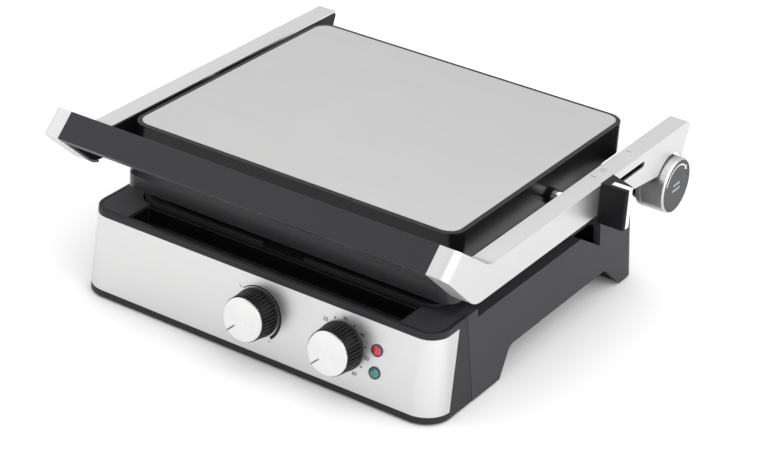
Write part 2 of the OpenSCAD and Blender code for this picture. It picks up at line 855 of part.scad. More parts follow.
// Everything inside the rounded corner between an arm's side and its front end
module inside_corner(t) {
  r = 8;
  end_frame() translate([0, 0, -400]) linear_extrude(900) {
    translate([arm_out - r, r]) circle(r - t);
    translate([0, t]) square([arm_out - r, 900]);
    translate([0, r]) square([arm_out - t, 900]);
  }
}

module slot_shape(l, h) {
  translate([h / 2, 0]) circle(h / 2);
  translate([l - h / 2, 0]) circle(h / 2);
  translate([h / 2, -h / 2]) square([l - h, h]);
}

// Folded metal skin: outer side, top and closed front end, open inwards and below
module arm_skin() {
  difference() {
    intersection() {
      translate([arm_in, 0, 0]) side_extrude(arm_w) arm_outline();
      inside_corner(0);
    }
    intersection() {
      translate([arm_in - 1, 0, 0]) side_extrude(arm_w + 1) offset(delta = -skin_t) arm_outline();
      inside_corner(skin_t);
    }
    translate([arm_in - 1, bar_low[0] + 50, arm_z0 - 30])
      cube([arm_w + 1 - skin_t, arm_rear - bar_low[0], arm_h + 30 - skin_t]);
    pivot_hole(0);
  }
}

module pivot_hole(gap) {
  translate([arm_in - 20, pivot_y, pivot_z]) rotate([0, 90, 0]) cylinder(h = 29, r = pivot_r + gap);
}

module slider_slot(grow, x0, x1) {
  translate([x0, key_y - grow, slot_z]) side_extrude(x1 - x0)
    slot_shape(key_l + slide_travel + 2 * grow, slot_h + 2 * (grow - slip));
}

// Moulded liner that fills the skin and carries the hinge hub
module arm_liner() {
  gap = skin_t + seat;
  difference() {
    union() {
      intersection() {
        translate([arm_in + 0.4, 0, 0]) side_extrude(arm_w - 0.4 - gap) offset(delta = -gap) arm_outline();
        inside_corner(gap);
      }
      translate([hub_in, 0, 0]) side_extrude(hub_out - hub_in) hub_outline();
      translate([hub_out - 1, hinge_y - 17, hinge_z + notch_r])
        cube([arm_in + 2 - hub_out, 28, hub_top - hinge_z - notch_r]);
    }
    on_hinge(hub_in - 1) cylinder(h = 20, r = bush_r);
    pivot_hole(0);
    end_screw_places() handle_screw_room();
  }
}

module hub_outline() {
  translate([hinge_y, hinge_z]) circle(hub_r);
  translate([hinge_y - 17, hinge_z]) square([28, hub_top - hinge_z]);
}

module end_screw_places() {
  for (w = [bar_face * 0.28, bar_face * 0.72]) {
    end_frame() translate([arm_in, bar_t / 2 + 0.5, w]) rotate([0, 90, 0]) children();
  }
}

module handle_screw_room() {
  translate([0, 0, -1]) cylinder(h = 20, r = 1.6 + seat, $fn = 24);
  translate([0, 0, 3]) cylinder(h = 30, r = 3.6, $fn = 32);
}

module right_liner() {
  difference() {
    arm_liner();
    slider_slot(slip + 2, arm_out - skin_t - 10, arm_out);
  }
}

module left_arm() { color([0.8, 0.8, 0.8]) placed() mirror([1, 0, 0]) arm_skin(); }

module right_arm() {
  color([0.8, 0.8, 0.8]) placed() difference() {
    arm_skin();
    slider_slot(slip, arm_out - skin_t - 1, arm_out + 1);
  }
}

module left_arm_liner() { color([0.1, 0.1, 0.1]) placed() mirror([1, 0, 0]) arm_liner(); }
module right_arm_liner() { color([0.1, 0.1, 0.1]) placed() right_liner(); }

module hinge_bush() {
  on_hinge(hub_in - 0.4) difference() {
    cylinder(h = hub_out - hub_in + 0.6, r = bush_r);
    translate([0, 0, -1]) cylinder(h = 20, r = pin_d / 2 + run_fit);
  }
}

module hinge_bush_left() { color([0.9, 0.88, 0.8]) placed() mirror([1, 0, 0]) hinge_bush(); }
module hinge_bush_right() { color([0.9, 0.88, 0.8]) placed() hinge_bush(); }

module handle_bar() {
  half = arm_in - 0.05;
  color([0.18, 0.18, 0.19]) placed() difference() {
    end_frame() translate([-half, 0, 0]) side_extrude(2 * half)
      polygon(concat([[0, 0]], fillet([0, 0], [bar_t, 0], [bar_t, bar_face], 3, 6),
        fillet([bar_t, 0], [bar_t, bar_face], [0, bar_face], 3, 6), [[0, bar_face]]));
    both_sides() end_screw_places() translate([0, 0, -10]) cylinder(h = 12, r = 1.6, $fn = 24);
  }
}

module handle_screws() {
  color([0.6, 0.6, 0.6]) placed() both_sides() end_screw_places()
    translate([0, 0, -9]) screw(1.6, 12);
}

// Stud that the lid hangs on, with a collar between lid and arm and a keeper inside the lid
module lid_pivot() {
  boss_x = shell_w / 2 + 3;
  translate([0, pivot_y, pivot_z]) rotate([0, 90, 0]) {
    translate([0, 0, lid_boss_in - 2.3]) cylinder(h = arm_in + 8 - lid_boss_in + 2.3, r = pivot_r);
    translate([0, 0, boss_x + 0.4]) cylinder(h = arm_in + 0.3 - boss_x - 0.4, r = pivot_r + 2.5);
  }
  difference() {
    translate([lid_boss_in - 2, pivot_y, pivot_z]) rotate([0, 90, 0]) cylinder(h = 1.7, r = pivot_r + 3);
    translate([lid_boss_in - 5, pivot_y - 20, pivot_z - 30]) cube([8, 40, 29]);
  }
}

module lid_pivot_left() { color([0.75, 0.75, 0.75]) placed() mirror([1, 0, 0]) lid_pivot(); }
module lid_pivot_right() { color([0.75, 0.75, 0.75]) placed() lid_pivot(); }

// ---- Slider ----

module slider_block(grow) {
  x0 = arm_out + slip;
  translate([0, 0, slider_z0 - grow]) linear_extrude(slider_h + 2 * grow)
    polygon(concat([[x0, slider_y]],
      fillet([x0, slider_y], [x0 + slider_w, slider_y], [x0 + slider_w, slider_y + 10], 2, 5),
      fillet([x0 + slider_w, slider_y], [x0 + slider_w, slider_y + 10], [x0, slider_y + 20], 2, 5),
      [[x0, slider_y + 20]]));
}

module slider_layer(inset) {
  x1 = arm_out + slip + slider_w;
  difference() {
    translate([x1 - 16, slider_y + 3.5, slider_z0 - 1]) cube([20, 5.5, slider_h + 2]);
    translate([x1 - 20, slider_y + 3, slider_z0 - 2]) cube([16, 7, slider_h - 1.5]);
  }
}

module slider_grip() {
  color([0.07, 0.07, 0.07]) placed() difference() {
    slider_block(0);
    slider_layer(0);
  }
}

module slider_insert() {
  color([0.85, 0.85, 0.85]) placed() intersection() {
    slider_block(0);
    slider_layer(0);
  }
}

// Key that runs in the slot of the arm, with a foot behind the skin
module slider_key() {
  color([0.2, 0.2, 0.2]) placed() {
    translate([arm_out - skin_t - 0.8, key_y, slot_z]) side_extrude(skin_t + 0.8 + slip)
      slot_shape(key_l, slot_h - 2 * slip);
    translate([arm_out - skin_t - 8, key_y, slot_z]) side_extrude(8 - slip)
      slot_shape(key_l, slot_h + 3);
  }
}

// ---- Lid ----

module lid_shell() {
  deck = lid_z1 - cover_t;
  color([0.1, 0.1, 0.11]) placed() difference() {
    union() {
      difference() {
        round_block(shell_w, -shell_d / 2, shell_d / 2, shell_r, lid_z0, lid_z1 - 0.4);
        round_block(shell_w - 2 * wall, -shell_d / 2 + wall, shell_d / 2 - wall, shell_r - wall,
          lid_z0 + 2.5, deck - wall);
        round_block(neck_w + 0.6, neck_y0 - 0.3, neck_y1 + 0.3, frame_r - 9, lid_z0 - 1, lid_z0 + 4);
      }
      both_sides() translate([lid_boss_in, pivot_y, pivot_z]) rotate([0, 90, 0])
        cylinder(h = shell_w / 2 + 3 - lid_boss_in, r = pivot_r + 3);
      lid_screw_places() translate([0, 0, 3.2]) cylinder(h = deck - wall - lid_z0 - 2.7, r = 5);
    }
    round_block(cover_w + 2 * seat, -cover_d / 2 - seat, cover_d / 2 + seat, cover_r + seat, deck, lid_z1 + 5);
    both_sides() translate([lid_boss_in, pivot_y, pivot_z]) rotate([0, 90, 0]) {
      cylinder(h = 30, r = pivot_r + run_fit);
      translate([0, 0, -3]) cylinder(h = 3, r = pivot_r + 0.8);
    }
    lid_screw_places() cylinder(h = 12, r = 1.6, $fn = 24);
  }
}

module lid_cover() {
  color([0.78, 0.78, 0.77]) placed()
    round_block(cover_w, -cover_d / 2, cover_d / 2, cover_r, lid_z1 - cover_t, lid_z1);
}

module lid_screw_places() {
  for (x = [-neck_w / 2 + 14, neck_w / 2 - 14]) {
    for (y = [neck_y0 + 14, neck_y1 - 14]) {
      translate([x, y, lid_z0]) children();
    }
  }
}

// Black frame under the lid: a lip round the plate, a bevel and a neck up into the shell
module lid_frame() {
  t = 2.6;
  color([0.16, 0.16, 0.17]) placed() difference() {
    union() {
      round_block(frame_w, frame_y0 + 1, frame_y1, frame_r, frame_z0, frame_z1);
      bevel(frame_w, frame_y0 + 1, frame_y1, frame_r, frame_z1, 7);
      round_block(ear_w, frame_y0, ear_y1, ear_r, frame_z0, frame_z1);
      bevel(ear_w, frame_y0, ear_y1, ear_r, frame_z1, 6);
      round_block(neck_w, neck_y0, neck_y1, frame_r - 10, frame_z1, lid_z0 + 3);
    }
    round_block(plate_w + 1, plate_y0 - 0.5, plate_y1 + 0.5, 14.5, frame_z0 - 1, plate_top + 0.2);
    round_block(neck_w - 2 * t, neck_y0 + t, neck_y1 - t, frame_r - 10 - t, frame_z0, lid_z0 + 0.2);
    round_block(neck_w - 44, neck_y0 + 22, neck_y1 - 22, 8, frame_z0, lid_z0 + 9);
    lid_screw_places() translate([0, 0, -5]) cylinder(h = 20, r = 1.6 + seat, $fn = 24);
  }
}

// Sloping shoulder that draws a rounded block in by the same amount as it rises
module bevel(w, y0, y1, r, z, h) {
  x = w / 2 - r;
  both_sides() {
    for (y = [y0 + r, y1 - r]) {
      translate([x, y, z]) quarter_cone(h, r, r - h, y < (y0 + y1) / 2 ? -1 : 0);
    }
  }
  translate([0, y0 + r, 0]) prism_y(w / 2, w / 2 - h, z, z + h, y1 - y0 - 2 * r);
  prism_x(x, [[y0, z], [y1, z], [y1 - h, z + h], [y0 + h, z + h]]);
}

module lid_screws() {
  color([0.6, 0.6, 0.6]) placed() lid_screw_places()
    mirror([0, 0, 1]) translate([0, 0, -10]) screw(1.6, 9.8);
}

base_shell();
front_fascia();
front_panel();
bottom_cover();
bottom_screws();
foot_front_left();
foot_front_right();
foot_rear_left();
foot_rear_right();
drip_tray();
lower_plate();
lower_heater();
lower_reflector();
terminal_block();
cord_gland();
hinge_bracket_left();
hinge_bracket_right();
bracket_screws();
hinge_pin_left();
hinge_pin_right();
hinge_cap_left();
release_barrel();
release_cap();
thermostat_body();
thermostat_shaft();
thermostat_knob();
thermostat_knob_cap();
timer_body();
timer_shaft();
timer_knob();
timer_knob_cap();
power_lens();
ready_lens();
lamp_bezels();
lamp_holders();
left_arm();
right_arm();
left_arm_liner();
right_arm_liner();
hinge_bush_left();
hinge_bush_right();
handle_bar();
handle_screws();
lid_pivot_left();
lid_pivot_right();
slider_grip();
slider_insert();
slider_key();
lid_shell();
lid_cover();
lid_frame();
upper_plate();
upper_heater();
upper_reflector();
lid_screws();
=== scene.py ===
import bpy
import bmesh
import json
import math
from mathutils import Matrix, Vector


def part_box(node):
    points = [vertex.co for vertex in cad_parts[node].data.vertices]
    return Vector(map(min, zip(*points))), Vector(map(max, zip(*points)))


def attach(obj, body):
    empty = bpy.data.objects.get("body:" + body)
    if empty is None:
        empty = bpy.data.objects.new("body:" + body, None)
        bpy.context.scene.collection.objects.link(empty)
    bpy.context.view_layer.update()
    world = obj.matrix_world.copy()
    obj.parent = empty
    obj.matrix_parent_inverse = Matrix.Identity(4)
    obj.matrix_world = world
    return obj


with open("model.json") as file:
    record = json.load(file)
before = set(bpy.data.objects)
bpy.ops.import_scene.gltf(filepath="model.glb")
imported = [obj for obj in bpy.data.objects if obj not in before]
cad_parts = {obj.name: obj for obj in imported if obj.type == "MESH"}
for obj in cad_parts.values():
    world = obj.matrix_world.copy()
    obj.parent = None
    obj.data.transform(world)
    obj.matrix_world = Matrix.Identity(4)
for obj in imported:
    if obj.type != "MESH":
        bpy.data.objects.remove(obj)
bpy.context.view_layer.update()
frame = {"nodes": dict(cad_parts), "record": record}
MM = 0.001
NODES = frame["nodes"]
JOINTS = {j["name"]: j for j in frame["record"]["behaviour"]["joints"]}


# ---------------------------------------------------------------- camera

# Turn about the vertical, rise above the floor and roll, in degrees
CAMERA_TURN, CAMERA_RISE, CAMERA_ROLL = 31.84, 28.04, 3.66
# Lens and sensor width in millimetres; place and farthest distance seen in metres
CAMERA_LENS, CAMERA_SENSOR = 107.3, 36
CAMERA_AT = (0.8889, -1.4238, 0.9441)
CAMERA_REACH = 50


def place_camera():
    """Three-quarter view from the front right, above the press."""
    turn, rise, roll = (math.radians(a) for a in (CAMERA_TURN, CAMERA_RISE, CAMERA_ROLL))
    back = Vector((math.sin(turn) * math.cos(rise), -math.cos(turn) * math.cos(rise), math.sin(rise)))
    right = Vector((math.cos(turn), math.sin(turn), 0))
    up = back.cross(right)
    rolled_right = right * math.cos(roll) + up * math.sin(roll)
    rolled_up = up * math.cos(roll) - right * math.sin(roll)
    cam = bpy.data.objects.new("camera", bpy.data.cameras.new("camera"))
    bpy.context.scene.collection.objects.link(cam)
    cam.data.lens = CAMERA_LENS
    cam.data.sensor_width = CAMERA_SENSOR
    cam.data.clip_end = CAMERA_REACH
    facing = Matrix((rolled_right, rolled_up, back)).transposed().to_4x4()
    cam.matrix_world = Matrix.Translation(CAMERA_AT) @ facing
    bpy.context.scene.camera = cam


place_camera()


# ---------------------------------------------------------------- node helpers

class Build:
    """Small helper for writing node trees."""

    def __init__(self, tree):
        self.tree = tree

    def node(self, kind, values=None, **settings):
        n = self.tree.nodes.new(kind)
        for k, v in settings.items():
            setattr(n, k, v)
        for k, v in (values or {}).items():
            self.feed(n.inputs[k], v)
        return n

    def feed(self, socket, value):
        if isinstance(value, bpy.types.NodeSocket):
            self.tree.links.new(value, socket)
        elif isinstance(value, bpy.types.Node):
            self.tree.links.new(value.outputs[0], socket)
        else:
            socket.default_value = value

    def math(self, op, a, b=0.0, clamp=False):
        return self.node("ShaderNodeMath", {0: a, 1: b}, operation=op, use_clamp=clamp).outputs[0]

    def vec(self, op, a, b=(0, 0, 0)):
        n = self.node("ShaderNodeVectorMath", {0: a, 1: b}, operation=op)
        return n.outputs["Value"] if op in ("LENGTH", "DOT_PRODUCT", "DISTANCE") else n.outputs[0]

    def mix(self, factor, a, b):
        n = self.node("ShaderNodeMix", data_type="RGBA")
        self.feed(n.inputs[0], factor)
        self.feed(n.inputs[6], a)
        self.feed(n.inputs[7], b)
        return n.outputs[2]

    def ramp(self, value, low, high, to_low=0.0, to_high=1.0):
        ends = {0: value, 1: low, 2: high, 3: to_low, 4: to_high}
        return self.node("ShaderNodeMapRange", ends).outputs[0]

    def noise(self, vector, scale, detail=3.0, rough=0.5):
        values = {"Vector": vector, "Scale": scale, "Detail": detail, "Roughness": rough}
        return self.node("ShaderNodeTexNoise", values).outputs[0]


def group(name, inputs, outputs, fill):
    tree = bpy.data.node_groups.new(name, "ShaderNodeTree")
    for label, kind, value in inputs:
        s = tree.interface.new_socket(label, in_out="INPUT", socket_type=kind)
        s.default_value = value
    for label, kind in outputs:
        tree.interface.new_socket(label, in_out="OUTPUT", socket_type=kind)
    b = Build(tree)
    source = tree.nodes.new("NodeGroupInput")
    sink = tree.nodes.new("NodeGroupOutput")
    for label, value in fill(b, source.outputs).items():
        b.feed(sink.inputs[label], value)
    return tree


FLOAT, COLOR, VECTOR = "NodeSocketFloat", "NodeSocketColor", "NodeSocketVector"


def place(b):
    return b.node("ShaderNodeTexCoord").outputs["Object"]


# ---------------------------------------------------------------- shared effects

def brush_fill(b, i):
    """Long fine scratches along one axis, with faint bands."""
    stretched = b.vec("MULTIPLY", place(b), i["Stretch"])
    fine = b.noise(stretched, 1.0, 4.0, 0.65)
    broad = b.noise(b.vec("MULTIPLY", stretched, (0.35, 0.12, 0.12)), 1.0, 2.0)
    streak = b.math("ADD", b.math("MULTIPLY", fine, 0.7), b.math("MULTIPLY", broad, 0.3))
    centred = b.math("SUBTRACT", streak, 0.5)
    tint = b.math("ADD", 1.0, b.math("MULTIPLY", centred, i["Contrast"]))
    rough = b.math("ADD", i["Roughness"], b.math("MULTIPLY", centred, i["Spread"]))
    colour = b.vec("SCALE", i["Color"])
    b.feed(colour.node.inputs["Scale"], tint)
    return {"Color": colour, "Roughness": rough, "Height": streak}


BRUSH = group("brushed_finish",
              [("Color", COLOR, (0.6, 0.6, 0.6, 1)), ("Stretch", VECTOR, (30, 3000, 3000)),
               ("Contrast", FLOAT, 0.2), ("Roughness", FLOAT, 0.3), ("Spread", FLOAT, 0.15)],
              [("Color", COLOR), ("Roughness", FLOAT), ("Height", FLOAT)], brush_fill)


def grain_fill(b, i):
    """Fine pebble of a moulded surface, with slow mottling."""
    p = place(b)
    pebble = b.node("ShaderNodeTexVoronoi", {"Vector": p, "Scale": i["Scale"]}).outputs["Distance"]
    fine = b.noise(p, b.math("MULTIPLY", i["Scale"], 1.7), 3.0)
    slow = b.noise(p, 22.0, 4.0, 0.6)
    centred = b.math("SUBTRACT", slow, 0.5)
    tint = b.math("ADD", 1.0, b.math("MULTIPLY", centred, i["Mottle"]))
    colour = b.vec("SCALE", i["Color"])
    b.feed(colour.node.inputs["Scale"], tint)
    slow_lift = b.math("MULTIPLY", centred, i["Spread"])
    fine_lift = b.math("MULTIPLY", b.math("SUBTRACT", fine, 0.5), b.math("MULTIPLY", i["Spread"], 0.5))
    rough = b.math("ADD", i["Roughness"], b.math("ADD", slow_lift, fine_lift))
    return {"Color": colour, "Roughness": rough,
            "Height": b.math("ADD", b.math("MULTIPLY", pebble, 0.6), b.math("MULTIPLY", fine, 0.4))}


GRAIN = group("moulded_grain",
              [("Color", COLOR, (0.05, 0.05, 0.05, 1)), ("Scale", FLOAT, 1400.0), ("Mottle", FLOAT, 0.2),
               ("Roughness", FLOAT, 0.4), ("Spread", FLOAT, 0.12)],
              [("Color", COLOR), ("Roughness", FLOAT), ("Height", FLOAT)], grain_fill)


def wear_fill(b, i):
    """Lighter rubbed line along edges and corners."""
    soft = b.node("ShaderNodeBevel", {"Radius": i["Radius"]}, samples=4).outputs[0]
    true = b.node("ShaderNodeNewGeometry").outputs["Normal"]
    bend = b.math("SUBTRACT", 1.0, b.vec("DOT_PRODUCT", soft, true), True)
    patchy = b.ramp(b.noise(place(b), 90.0, 4.0, 0.7), 0.35, 0.7)
    edge = b.ramp(bend, 0.01, 0.16)
    cover = b.math("ADD", 0.35, b.math("MULTIPLY", patchy, 0.65))
    mask = b.math("MULTIPLY", b.math("MULTIPLY", edge, cover), i["Amount"], True)
    return {"Color": b.mix(mask, i["Color"], i["Worn"]), "Mask": mask}


WEAR = group("edge_wear",
             [("Color", COLOR, (0.05, 0.05, 0.05, 1)), ("Worn", COLOR, (0.2, 0.2, 0.2, 1)),
              ("Radius", FLOAT, 0.0008), ("Amount", FLOAT, 0.5)],
             [("Color", COLOR), ("Mask", FLOAT)], wear_fill)


def film_fill(b, i):
    """Faint smears and dust that lift the roughness here and there."""
    p = place(b)
    smear = b.ramp(b.noise(b.vec("MULTIPLY", p, (1.0, 1.6, 1.0)), 14.0, 6.0, 0.62), 0.48, 0.74)
    specks = b.ramp(b.noise(p, 900.0, 2.0), 0.66, 0.8)
    film = b.math("ADD", b.math("MULTIPLY", smear, 0.7), b.math("MULTIPLY", specks, 0.3), True)
    lift = b.math("MULTIPLY", film, i["Amount"])
    return {"Roughness": b.math("ADD", i["Roughness"], lift, True)}


FILM = group("handling_film", [("Roughness", FLOAT, 0.3), ("Amount", FLOAT, 0.1)],
             [("Roughness", FLOAT)], film_fill)


# ---------------------------------------------------------------- materials

def new_material(name):
    m = bpy.data.materials.new(name)
    m.use_nodes = True
    m.node_tree.nodes.clear()
    b = Build(m.node_tree)
    shader = b.node("ShaderNodeBsdfPrincipled")
    sink = b.node("ShaderNodeOutputMaterial")
    b.feed(sink.inputs["Surface"], shader.outputs[0])
    return m, b, shader


def use(b, tree, **values):
    n = b.node("ShaderNodeGroup", node_tree=tree)
    for k, v in values.items():
        b.feed(n.inputs[k], v)
    return n.outputs


def bump(b, shader, height, strength, distance):
    n = b.node("ShaderNodeBump", {"Height": height, "Strength": strength, "Distance": distance})
    b.feed(shader.inputs["Normal"], n.outputs[0])


def rgb(r, g=None, b=None):
    return (r, r if g is None else g, r if b is None else b, 1.0)


def brushed(name, color, stretch, rough=0.3, contrast=0.2, spread=0.15, metallic=1.0, depth=0.00002,
            wear=0.3, film=0.06, aniso=0.0):
    m, b, s = new_material(name)
    g = use(b, BRUSH, Color=color, Stretch=stretch, Contrast=contrast, Roughness=rough, Spread=spread)
    w = use(b, WEAR, Color=g["Color"], Worn=rgb(0.9), Radius=0.0006, Amount=wear)
    f = use(b, FILM, Roughness=g["Roughness"], Amount=film)
    b.feed(s.inputs["Base Color"], w["Color"])
    b.feed(s.inputs["Roughness"], f["Roughness"])
    s.inputs["Metallic"].default_value = metallic
    s.inputs["Anisotropic"].default_value = aniso
    bump(b, s, g["Height"], 0.5, depth)
    return m


def moulded(name, color, rough=0.4, scale=1400.0, mottle=0.2, spread=0.12, worn=0.2, wear=0.4,
            depth=0.00003, film=0.08, coat=0.0, specular=0.5, metallic=0.0):
    m, b, s = new_material(name)
    g = use(b, GRAIN, Color=color, Scale=scale, Mottle=mottle, Roughness=rough, Spread=spread)
    w = use(b, WEAR, Color=g["Color"], Worn=rgb(worn), Radius=0.0007, Amount=wear)
    f = use(b, FILM, Roughness=g["Roughness"], Amount=film)
    b.feed(s.inputs["Base Color"], w["Color"])
    b.feed(s.inputs["Roughness"], f["Roughness"])
    s.inputs["Coat Weight"].default_value = coat
    s.inputs["Coat Roughness"].default_value = 0.12
    s.inputs["Specular IOR Level"].default_value = specular
    s.inputs["Metallic"].default_value = metallic
    bump(b, s, g["Height"], 0.4, depth)
    return m


def spun_metal():
    """Turned metal disc: rings round its middle and a soft two-armed highlight."""
    m, b, s = new_material("spun_metal")
    p = b.node("ShaderNodeTexCoord").outputs["Generated"]
    off = b.vec("MULTIPLY", b.vec("SUBTRACT", p, (0.5, 0.5, 0.5)), (1.0, 0.0, 1.0))
    radius = b.vec("LENGTH", off)
    outward = b.node("ShaderNodeCombineXYZ", {0: b.math("MULTIPLY", radius, 220.0)}).outputs[0]
    rings = b.noise(outward, 1.0, 3.0, 0.6)
    tint = b.math("ADD", 0.9, b.math("MULTIPLY", rings, 0.2))
    colour = b.vec("SCALE", rgb(0.74, 0.74, 0.736)[:3])
    b.feed(colour.node.inputs["Scale"], tint)
    w = use(b, WEAR, Color=colour, Worn=rgb(0.95), Radius=0.0005, Amount=0.4)
    rough = use(b, FILM, Roughness=b.ramp(rings, 0.2, 0.8, 0.2, 0.34), Amount=0.08)["Roughness"]
    b.feed(s.inputs["Base Color"], w["Color"])
    b.feed(s.inputs["Roughness"], rough)
    s.inputs["Metallic"].default_value = 1.0
    s.inputs["Anisotropic"].default_value = 0.75
    b.feed(s.inputs["Tangent"], b.node("ShaderNodeTangent", direction_type="RADIAL", axis="Y").outputs[0])
    bump(b, s, rings, 0.3, 0.00001)
    return m


def lens_plastic(name, color):
    """Tinted lens with a faint prism grid behind a clear skin."""
    m, b, s = new_material(name)
    p = place(b)
    facets = b.node("ShaderNodeTexVoronoi", {"Vector": p, "Scale": 900.0}).outputs["Distance"]
    slow = b.noise(p, 160.0, 3.0)
    tint = b.math("ADD", 0.7, b.math("MULTIPLY", slow, 0.6))
    colour = b.vec("SCALE", color[:3])
    b.feed(colour.node.inputs["Scale"], tint)
    w = use(b, WEAR, Color=colour, Worn=rgb(0.8), Radius=0.0004, Amount=0.15)
    b.feed(s.inputs["Base Color"], w["Color"])
    b.feed(s.inputs["Roughness"], use(b, FILM, Roughness=0.12, Amount=0.1)["Roughness"])
    s.inputs["Subsurface Weight"].default_value = 0.25
    s.inputs["Subsurface Radius"].default_value = (0.002, 0.002, 0.002)
    s.inputs["Coat Weight"].default_value = 0.8
    s.inputs["Coat Roughness"].default_value = 0.05
    bump(b, s, facets, 0.35, 0.0001)
    return m


# Brush direction: noise scale along X, Y and Z, low along the scratches
ACROSS = (18.0, 2600.0, 2600.0)
ALONG = (2600.0, 14.0, 2600.0)
ROUND = (2400.0, 60.0, 60.0)

MAT = {
    "cover": brushed("brushed_cover_sheet", rgb(0.56, 0.56, 0.558), ACROSS, 0.42, 0.14, 0.10, depth=0.00002,
                     wear=0.1),
    "panel": brushed("brushed_front_panel", rgb(0.66, 0.66, 0.657), ACROSS, 0.36, 0.16, 0.12, depth=0.00002,
                     wear=0.1),
    "arm": brushed("satin_silver_arm", rgb(0.64, 0.64, 0.64), ALONG, 0.42, 0.10, 0.10, depth=0.00001,
                   wear=0.1),
    "handle": brushed("dark_satin_handle", rgb(0.026, 0.026, 0.029), ACROSS, 0.42, 0.25, 0.12, metallic=0.5,
                      wear=0.08),
    "barrel": brushed("turned_silver_barrel", rgb(0.62, 0.62, 0.618), ROUND, 0.36, 0.10, 0.1, wear=0.1),
    "steel": brushed("plain_zinc_steel", rgb(0.5, 0.5, 0.49), (400, 400, 400), 0.35, 0.25, 0.2),
    "chrome": brushed("polished_stud", rgb(0.75, 0.75, 0.75), ROUND, 0.16, 0.1, 0.06),
    "lid": moulded("black_lid_plastic", rgb(0.004, 0.004, 0.0045), 0.24, worn=0.03, wear=0.2, film=0.02,
                   spread=0.04, specular=0.24),
    "frame": moulded("grey_frame_plastic", rgb(0.020, 0.020, 0.022), 0.28, worn=0.06, wear=0.3, film=0.03,
                     spread=0.05, specular=0.4),
    "shell": moulded("grey_base_plastic", rgb(0.034, 0.034, 0.037), 0.5, worn=0.08, wear=0.2, film=0.04,
                     specular=0.2),
    "fascia": moulded("grey_fascia_plastic", rgb(0.018, 0.018, 0.020), 0.45, worn=0.05, wear=0.2,
                      specular=0.22),
    "gloss": moulded("gloss_black_tray", rgb(0.004, 0.004, 0.0045), 0.12, 500.0, depth=0.000006, coat=0.4,
                     specular=0.3),
    "liner": moulded("black_liner_plastic", rgb(0.005, 0.005, 0.006), 0.42, worn=0.04, wear=0.2,
                     specular=0.18),
    "knob": moulded("black_knob_plastic", rgb(0.006, 0.006, 0.0065), 0.38, 1800.0, worn=0.06, wear=0.4,
                    specular=0.25),
    "plate": moulded("coated_casting", rgb(0.018, 0.018, 0.019), 0.5, 700.0, worn=0.12, depth=0.00012,
                     metallic=0.2),
    "rubber": moulded("foot_rubber", rgb(0.02, 0.02, 0.02), 0.75, 1000.0, worn=0.08, specular=0.3),
    "paint": moulded("black_sheet_paint", rgb(0.02, 0.02, 0.02), 0.5, 900.0, worn=0.3, depth=0.00004),
    "pale": moulded("pale_engineering_plastic", rgb(0.62, 0.6, 0.53), 0.5, 1000.0, worn=0.7),
    "white": moulded("silver_white_inlay", rgb(0.78, 0.78, 0.775), 0.35, 1200.0, worn=0.8, mottle=0.06),
    "cap": moulded("dark_grey_cap", rgb(0.035, 0.036, 0.039), 0.4, 1500.0, worn=0.2, specular=0.25),
    "bezel": moulded("lamp_bezel", rgb(0.012, 0.013, 0.015), 0.25, 1500.0, worn=0.2),
    "tube": brushed("heater_tube", rgb(0.3, 0.27, 0.23), (300, 300, 300), 0.5, 0.5, 0.2),
    "sheet": brushed("reflector_sheet", rgb(0.75, 0.75, 0.76), ACROSS, 0.25, 0.15, 0.1),
    "spun": spun_metal(),
    "red": lens_plastic("red_lens_plastic", rgb(0.42, 0.02, 0.05)),
    "green": lens_plastic("green_lens_plastic", rgb(0.02, 0.19, 0.17)),
    "ink": moulded("dark_print", rgb(0.012, 0.012, 0.014), 0.5, 2500.0, wear=0.0, specular=0.3),
    "grey_ink": moulded("grey_print", rgb(0.16, 0.16, 0.165), 0.5, 2500.0, wear=0.0, specular=0.3),
    "pale_ink": moulded("pale_print", rgb(0.70, 0.70, 0.70), 0.5, 2500.0, wear=0.0),
}

FINISH = {
    "cover": ["lid_cover"],
    "panel": ["front_panel"],
    "arm": ["left_arm", "right_arm"],
    "handle": ["handle_bar"],
    "barrel": ["hinge_cap_left", "release_barrel"],
    "steel": ["bottom_screws", "bracket_screws", "handle_screws", "lid_screws", "thermostat_shaft",
              "timer_shaft"],
    "chrome": ["lid_pivot_left", "lid_pivot_right", "hinge_pin_left", "hinge_pin_right"],
    "lid": ["lid_shell"],
    "frame": ["lid_frame"],
    "shell": ["base_shell"],
    "fascia": ["front_fascia"],
    "gloss": ["drip_tray"],
    "liner": ["left_arm_liner", "right_arm_liner", "cord_gland", "slider_grip", "slider_key"],
    "knob": ["thermostat_knob", "timer_knob"],
    "plate": ["lower_plate", "upper_plate"],
    "rubber": ["foot_front_left", "foot_front_right", "foot_rear_left", "foot_rear_right"],
    "paint": ["bottom_cover", "hinge_bracket_left", "hinge_bracket_right"],
    "pale": ["terminal_block", "lamp_holders", "hinge_bush_left", "hinge_bush_right", "thermostat_body",
             "timer_body"],
    "white": ["slider_insert"],
    "cap": ["release_cap"],
    "bezel": ["lamp_bezels"],
    "tube": ["lower_heater", "upper_heater"],
    "sheet": ["lower_reflector", "upper_reflector"],
    "spun": ["thermostat_knob_cap", "timer_knob_cap"],
    "red": ["power_lens"],
    "green": ["ready_lens"],
}


def dress():
    """Gives each CAD node its finish."""
    for key, names in FINISH.items():
        for name in names:
            mesh = NODES[name].data
            if not mesh.materials:
                mesh.materials.append(MAT[key])
            for i in range(len(mesh.materials)):
                mesh.materials[i] = MAT[key]


dress()


# Distance in millimetres that joins doubled points, and angles in degrees that count as an edge or a crease
WELD_GAP = 0.02
EDGE_ANGLE = 28
CREASE_ANGLE = 24


